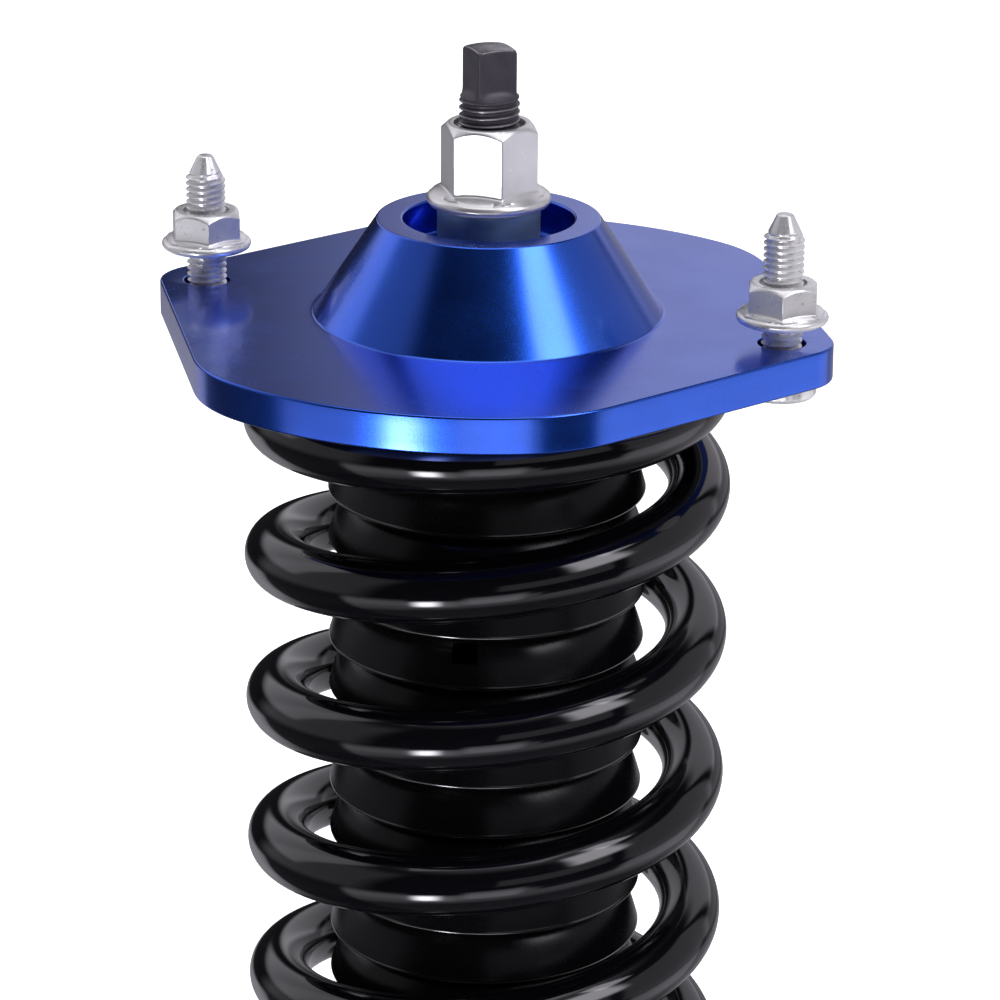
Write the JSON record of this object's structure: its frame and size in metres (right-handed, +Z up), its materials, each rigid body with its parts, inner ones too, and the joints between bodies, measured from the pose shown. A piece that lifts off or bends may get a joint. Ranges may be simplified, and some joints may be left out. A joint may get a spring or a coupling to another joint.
{
  "type": "strut assembly",
  "caption": "Coilover damper strut: flanged top mount with raised cone on a spherical bearing, coil spring over a bellows boot, threaded body, adjustable spring perch and lower eye.",
  "frame": {"origin": "centre of the mount plate's top face, on the damper's axis, midway between the two studs", "axes": "+Z up along the damper's axis towards the rod's square end, +X along the line through the two studs"},
  "size_m": [0.1396, 0.137, 0.4554],
  "materials": {
    "blue_anodised": "satin anodised",
    "zinc_steel": "zinc plated",
    "black_oxide_steel": "black oxide",
    "bearing_steel": "polished",
    "liner_fabric": "woven low-friction liner",
    "spring_black": "gloss powder coat",
    "boot_rubber": "satin black",
    "bump_foam": "cellular polyurethane",
    "black_steel": "satin black",
    "plain_steel": "machined",
    "plain_aluminium": "machined",
    "bronze_band": "bronze-filled band",
    "seal_rubber": "moulded",
    "black_nylon": "moulded",
    "bush_rubber": "moulded"
  },
  "bodies": {
    "top_mount": {"mount_plate": "blue_anodised", "mount_stud_right": "zinc_steel", "mount_stud_left": "zinc_steel", "stud_nut_right": "zinc_steel", "stud_nut_left": "zinc_steel", "bearing_race": "bearing_steel", "bearing_circlip": "black_oxide_steel"},
    "bearing_liner": {"bearing_liner": "liner_fabric"},
    "rod": {"bearing_ball": "bearing_steel", "upper_collar": "bearing_steel", "lower_collar": "bearing_steel", "damper_rod": "black_oxide_steel", "rod_nut": "zinc_steel", "spring_hat": "black_steel", "bump_stop": "bump_foam", "coil_spring": "spring_black", "dust_boot": "boot_rubber", "top_out_spacer": "plain_steel", "rebound_shims": "plain_steel", "piston": "plain_aluminium", "piston_band": "bronze_band", "compression_shims": "plain_steel", "piston_nut": "plain_steel"},
    "cylinder": {"damper_body": "plain_steel", "gland_nut": "plain_aluminium", "rod_seal": "seal_rubber", "rod_guide": "plain_aluminium", "boot_ring": "black_nylon"},
    "gas_piston": {"floating_piston": "plain_aluminium"},
    "spring_seat": {"seat_ring": "black_nylon"},
    "perch": {"spring_perch": "blue_anodised", "perch_lock_ring": "blue_anodised"},
    "bracket": {"bracket_lock_ring": "blue_anodised", "lower_bracket": "black_steel", "bush_outer_sleeve": "zinc_steel", "bush_rubber": "bush_rubber"},
    "eye_sleeve": {"bush_inner_sleeve": "zinc_steel"}
  },
  "joints": [
    {"name": "mount_tilt_across", "type": "hinge", "parent": "top_mount", "child": "bearing_liner", "pos_m": [0, 0, 0.003], "axis": [1, 0, 0], "range_deg": [-2.5, 2.5]},
    {"name": "mount_tilt_along", "type": "hinge", "parent": "bearing_liner", "child": "rod", "pos_m": [0, 0, 0.003], "axis": [0, 1, 0], "range_deg": [-2.5, 2.5]},
    {"name": "damper_stroke", "type": "slide", "parent": "rod", "child": "cylinder", "axis": [0, 0, 1], "range_m": [0, 0.07], "stiffness_N_per_m": 60000, "deforming": ["coil_spring", "dust_boot"]},
    {"name": "gas_piston_slide", "type": "slide", "parent": "cylinder", "child": "gas_piston", "axis": [0, 0, 1], "range_m": [-0.0146, 0]},
    {"name": "perch_height", "type": "slide", "parent": "cylinder", "child": "spring_seat", "axis": [0, 0, 1], "range_m": [-0.0201, 0]},
    {"name": "perch_turn", "type": "hinge", "parent": "spring_seat", "child": "perch", "pos_m": [0, 0, -0.2214], "axis": [0, 0, 1], "range_deg": [-3600, 0]},
    {"name": "bracket_height", "type": "slide", "parent": "cylinder", "child": "bracket", "axis": [0, 0, 1], "range_m": [-0.02, 0.01]},
    {"name": "eye_sleeve_twist", "type": "hinge", "parent": "bracket", "child": "eye_sleeve", "pos_m": [0, 0, -0.381], "axis": [1, 0, 0], "range_deg": [-15, 15], "stiffness_Nm_per_rad": 15}
  ],
  "couplings": [
    {"joint": "gas_piston_slide", "follows": "damper_stroke", "ratio": -0.2066},
    {"joint": "perch_height", "follows": "perch_turn", "m_per_rad": 0.00031831}
  ]
}
